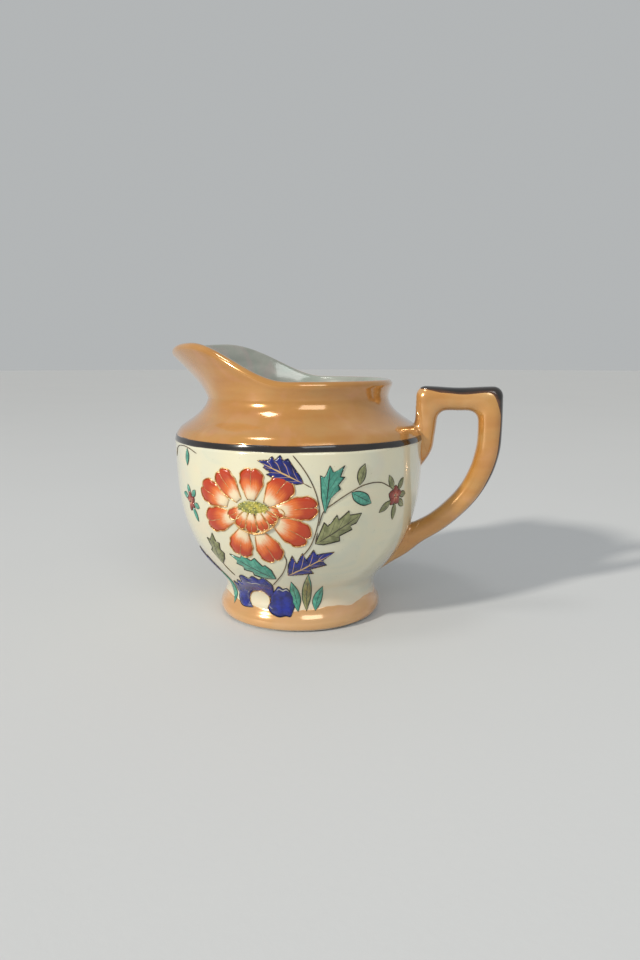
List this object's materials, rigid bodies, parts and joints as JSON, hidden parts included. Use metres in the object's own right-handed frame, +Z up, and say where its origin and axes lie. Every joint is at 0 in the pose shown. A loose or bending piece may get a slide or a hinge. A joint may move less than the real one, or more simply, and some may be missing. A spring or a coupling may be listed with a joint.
{
  "type": "cream jug",
  "caption": "Small porcelain cream jug with a pinched pouring spout, an angular handle, a footed belly and raised enamel flowers.",
  "frame": {"origin": "centre of the foot ring, on the plane it stands on", "axes": "+Z up, -X towards the spout, +X towards the handle"},
  "size_m": [0.1047, 0.0792, 0.0858],
  "materials": {
    "porcelain": "unglazed, fine matt",
    "amber_lustre": "glossy, pearly orange lustre",
    "pearl_lustre": "glossy grey pearl lustre",
    "ivory_glaze": "glossy ivory with a faint pearly sheen",
    "black_enamel": "glossy black",
    "yellow_enamel": "glossy raised enamel",
    "gold_line": "thin burnished gold",
    "orange_enamel": "glossy raised enamel, fading to white",
    "blue_enamel": "glossy raised enamel",
    "turquoise_enamel": "glossy raised enamel",
    "olive_enamel": "glossy raised enamel",
    "brown_enamel": "thin glossy line"
  },
  "bodies": {
    "root": {"body_casting": "porcelain", "handle_casting": "amber_lustre", "upper_handle_slip": "amber_lustre", "lower_handle_slip": "amber_lustre", "inside_glaze": "pearl_lustre", "base_glaze": "ivory_glaze", "foot_glaze": "amber_lustre", "belly_glaze": "ivory_glaze", "shoulder_line": "black_enamel", "collar_glaze": "amber_lustre", "handle_line": "black_enamel", "peony_stamens": "yellow_enamel", "peony_gold_arc": "gold_line", "peony_cup_petals": "orange_enamel", "leaf_blue_upper": "blue_enamel", "leaf_turquoise_upper": "turquoise_enamel", "leaf_olive_right": "olive_enamel", "leaf_blue_lower": "blue_enamel", "leaf_turquoise_lower": "turquoise_enamel", "leaf_olive_left": "olive_enamel", "leaf_blue_left": "blue_enamel", "leaf_small_olive": "olive_enamel", "leaf_small_turquoise": "turquoise_enamel", "rock_left": "blue_enamel", "rock_right": "blue_enamel", "grass_blades": "olive_enamel", "side_flower_petals": "orange_enamel", "side_flower_sepals": "olive_enamel", "spout_flower_petals": "orange_enamel", "spout_flower_leaves": "olive_enamel", "hanging_sprig": "olive_enamel", "stem_main": "brown_enamel", "stem_lower": "brown_enamel", "stem_branch": "brown_enamel", "peony_petal_1": "orange_enamel", "peony_petal_2": "orange_enamel", "peony_petal_3": "orange_enamel", "peony_petal_4": "orange_enamel", "peony_petal_5": "orange_enamel", "peony_petal_6": "orange_enamel", "peony_petal_7": "orange_enamel", "peony_petal_8": "orange_enamel", "peony_petal_9": "orange_enamel"}
  },
  "joints": []
}
